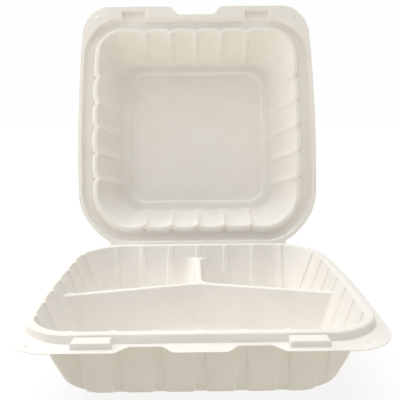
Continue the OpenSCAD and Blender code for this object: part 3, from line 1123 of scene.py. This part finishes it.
def glowing(name, code, glow, diffuse):
    """A plain studio surface that glows and also takes a little of the light."""
    material = bpy.data.materials.new(name)
    material.use_nodes = True
    tree = material.node_tree
    tree.nodes.clear()
    glow = add(tree, "ShaderNodeEmission", (("Color", linear(code)), ("Strength", glow)))
    paint = add(tree, "ShaderNodeBsdfDiffuse", (("Color", (diffuse, diffuse, diffuse, 1.0)),))
    both = add(tree, "ShaderNodeAddShader", links=((0, glow), (1, paint)))
    add(tree, "ShaderNodeOutputMaterial", links=(("Surface", both),))
    return material


def stage_piece(name, points, faces, material):
    """Adds a surface that the camera sees and that lights and shades nothing."""
    mesh = bpy.data.meshes.new(name)
    mesh.from_pydata(points, [], faces)
    mesh.materials.append(material)
    piece = bpy.data.objects.new(name, mesh)
    bpy.context.scene.collection.objects.link(piece)
    piece.visible_diffuse = False
    piece.visible_glossy = False
    piece.visible_transmission = False
    piece.visible_shadow = False


def soft_box(name, place, target, size, watts):
    """Adds a square light that faces a point."""
    light = bpy.data.lights.new(name, "AREA")
    light.energy = watts
    light.size = size
    lamp = bpy.data.objects.new(name, light)
    facing = (Vector(place) - Vector(target)).to_track_quat("Z", "Y")
    lamp.matrix_world = Matrix.Translation(place) @ facing.to_matrix().to_4x4()
    lamp.visible_camera = False
    bpy.context.scene.collection.objects.link(lamp)


class CONTAINER_OT_stage(bpy.types.Operator):
    """Set the floor, the white surround, the soft light and the camera"""
    bl_idname = "container.stage"
    bl_label = "Stage"

    def execute(self, context):
        scene = context.scene
        scene.view_settings.view_transform = "Standard"
        lens = bpy.data.cameras.new("camera")
        lens.sensor_width = SENSOR
        lens.lens = LENS
        camera = bpy.data.objects.new("camera", lens)
        pose = Matrix.Translation(CAMERA_PLACE)
        turns = ((CAMERA_PAN, "Z"), (CAMERA_TILT, "X"), (CAMERA_ROLL, "Y"), (CAMERA_LEVEL, "X"))
        for degrees, axis in turns:
            pose = pose @ Matrix.Rotation(math.radians(degrees), 4, axis)
        camera.matrix_world = pose
        scene.collection.objects.link(camera)
        scene.camera = camera
        angles = np.linspace(0, 2 * math.pi, SURROUND_STEPS, endpoint=False)
        circle = [(SURROUND_REACH * math.cos(a), SURROUND_REACH * math.sin(a)) for a in angles]
        floor = [(x, y, -FLOOR_DROP) for x, y in circle]
        n = SURROUND_STEPS
        pale = glowing("pale_floor", "#FFFFFF", glow=0.8, diffuse=0.2)
        stage_piece("floor", floor, [tuple(range(n))], pale)
        walls = [(x, y, z) for z in (-FLOOR_DROP, SURROUND_REACH) for x, y in circle]
        sides = [((i + 1) % n, i, i + n, (i + 1) % n + n) for i in range(n)]
        top = tuple(range(2 * n - 1, n - 1, -1))
        white = glowing("white_surround", "#FEFEFE", glow=1.0, diffuse=0.0)
        stage_piece("surround", walls, sides + [top], white)
        world = bpy.data.worlds.new("soft_light")
        world.use_nodes = True
        tree = world.node_tree
        tree.nodes.clear()
        way = add(tree, "ShaderNodeTexCoord").outputs["Generated"]
        height = add(tree, "ShaderNodeSeparateXYZ", links=((0, way),)).outputs["Z"]
        rise = add(tree, "ShaderNodeMapRange", (("From Min", -1.0), ("From Max", 1.0)), (("Value", height),))
        ramp = add(tree, "ShaderNodeValToRGB", links=(("Fac", rise),))
        stops = ramp.color_ramp.elements
        while len(stops) < len(SOFT_LIGHT):
            stops.new(0.5)
        for stop, (place, light) in zip(stops, SOFT_LIGHT):
            stop.position = (place + 1) / 2
            stop.color = (*light, 1.0)
        sky = add(tree, "ShaderNodeBackground", (("Strength", 1.0),), (("Color", ramp),))
        add(tree, "ShaderNodeOutputWorld", links=(("Surface", sky),))
        scene.world = world
        for name, place, target, size, watts in SOFT_BOXES:
            soft_box(name, place, target, size, watts)
        return {"FINISHED"}


class CONTAINER_PT_panel(bpy.types.Panel):
    """Lists the container's pieces and sizes"""
    bl_idname = "CONTAINER_PT_panel"
    bl_label = "Hinged food container"
    bl_space_type = "VIEW_3D"
    bl_region_type = "UI"
    bl_category = "Container"

    def draw(self, context):
        for operator in OPERATORS:
            self.layout.operator(operator.bl_idname)
        for group in (context.scene.container_sizes, context.scene.container_finish):
            for name in group.__annotations__:
                self.layout.prop(group, name)


OPERATORS = (CONTAINER_OT_stage, CONTAINER_OT_tray, CONTAINER_OT_lid, CONTAINER_OT_crease)
CLASSES = (ContainerSizes, ContainerFinish) + OPERATORS + (CONTAINER_PT_panel,)


def register():
    for cls in CLASSES:
        bpy.utils.register_class(cls)
    bpy.types.Scene.container_sizes = bpy.props.PointerProperty(type=ContainerSizes)
    bpy.types.Scene.container_finish = bpy.props.PointerProperty(type=ContainerFinish)


def unregister():
    del bpy.types.Scene.container_finish
    del bpy.types.Scene.container_sizes
    for cls in reversed(CLASSES):
        bpy.utils.unregister_class(cls)


def main():
    register()
    bpy.ops.container.stage()
    bpy.ops.container.tray()
    bpy.ops.container.lid()
    bpy.ops.container.crease()


if __name__ == "__main__":
    main()
